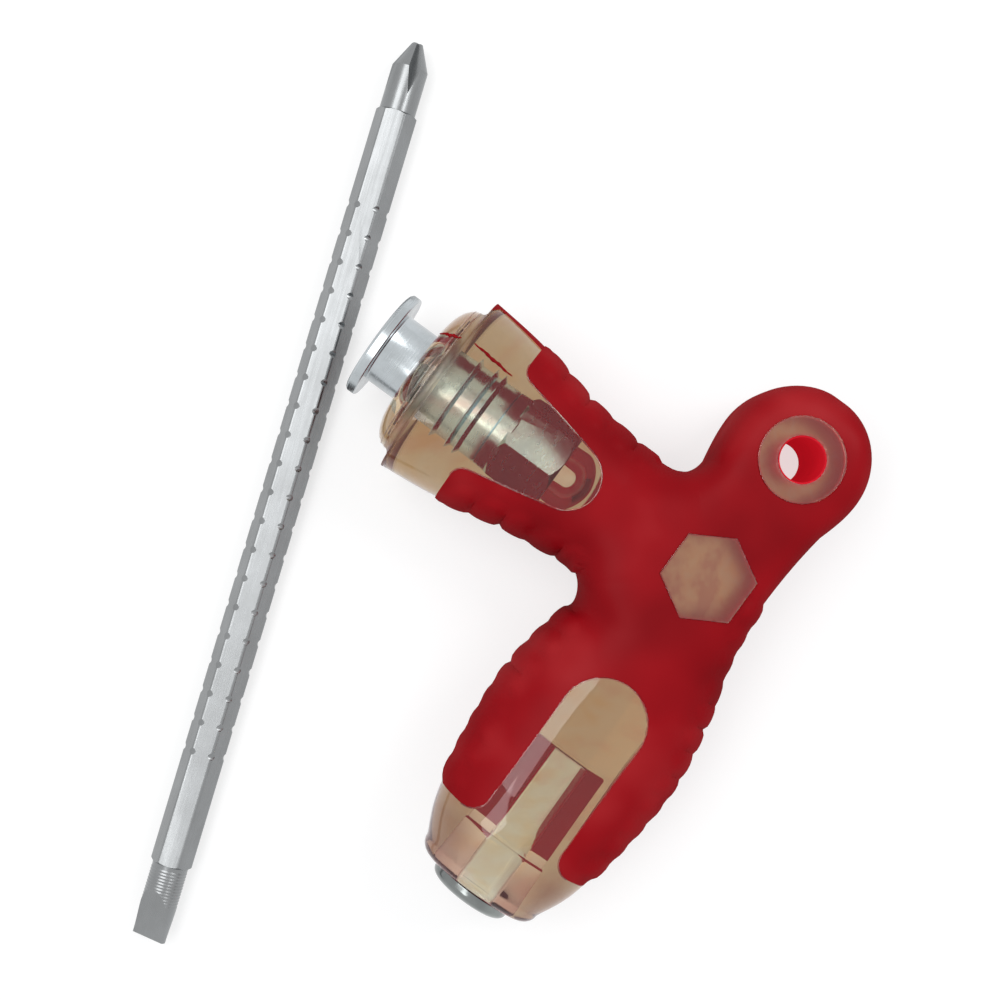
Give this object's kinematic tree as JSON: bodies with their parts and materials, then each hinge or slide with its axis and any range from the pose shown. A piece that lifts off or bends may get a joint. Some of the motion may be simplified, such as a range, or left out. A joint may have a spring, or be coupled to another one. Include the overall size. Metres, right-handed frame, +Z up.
{
  "type": "angled handle screwdriver",
  "caption": "Angled screwdriver handle: clear plastic core under a red grip skin, spring-locked hexagonal chuck, hanging eye and steel butt cap, with a notched hexagonal blade loose beside it.",
  "frame": {"origin": "centre of the hub's flat lower pad, on the surface that the handle lies on", "axes": "+X out along the chuck's axis, +Y along the grip bar to the butt cap, +Z up from the surface"},
  "size_m": [0.1029, 0.1427, 0.026],
  "materials": {
    "clear_plastic": "clear, gloss",
    "red_plastic": "satin",
    "chuck_steel": "turned, dull",
    "plated_steel": "plated, satin",
    "cap_steel": "pressed, satin",
    "spring_steel": "oiled wire",
    "ball_steel": "polished",
    "blade_steel": "plated, gloss"
  },
  "bodies": {
    "handle": {"clear_core": "clear_plastic", "red_grip": "red_plastic", "chuck_body": "chuck_steel", "stop_washer": "plated_steel", "retaining_clip": "plated_steel", "butt_cap": "cap_steel", "sleeve_spring": "spring_steel"},
    "sleeve": {"release_sleeve": "plated_steel", "spring_washer": "plated_steel"},
    "ball_left": {"locking_ball_left": "ball_steel"},
    "ball_right": {"locking_ball_right": "ball_steel"},
    "loose_blade": {"blade": "blade_steel"}
  },
  "joints": [
    {"name": "sleeve_push", "type": "slide", "parent": "handle", "child": "sleeve", "axis": [-1, 0, 0], "range_m": [0, 0.0024], "stiffness_N_per_m": 900, "springref_m": -0.003, "deforming": ["sleeve_spring"]},
    {"name": "ball_left_out", "type": "slide", "parent": "handle", "child": "ball_left", "axis": [0, 1, 0], "range_m": [0, 0.0005]},
    {"name": "ball_right_out", "type": "slide", "parent": "handle", "child": "ball_right", "axis": [0, -1, 0], "range_m": [0, 0.0005]},
    {"name": "blade_lift", "type": "slide", "parent": "handle", "child": "loose_blade", "axis": [0, 0, 1], "range_m": [0, 0.06]}
  ],
  "couplings": [
    {"joint": "ball_left_out", "follows": "sleeve_push", "ratio": 0.20833},
    {"joint": "ball_right_out", "follows": "sleeve_push", "ratio": 0.20833}
  ]
}
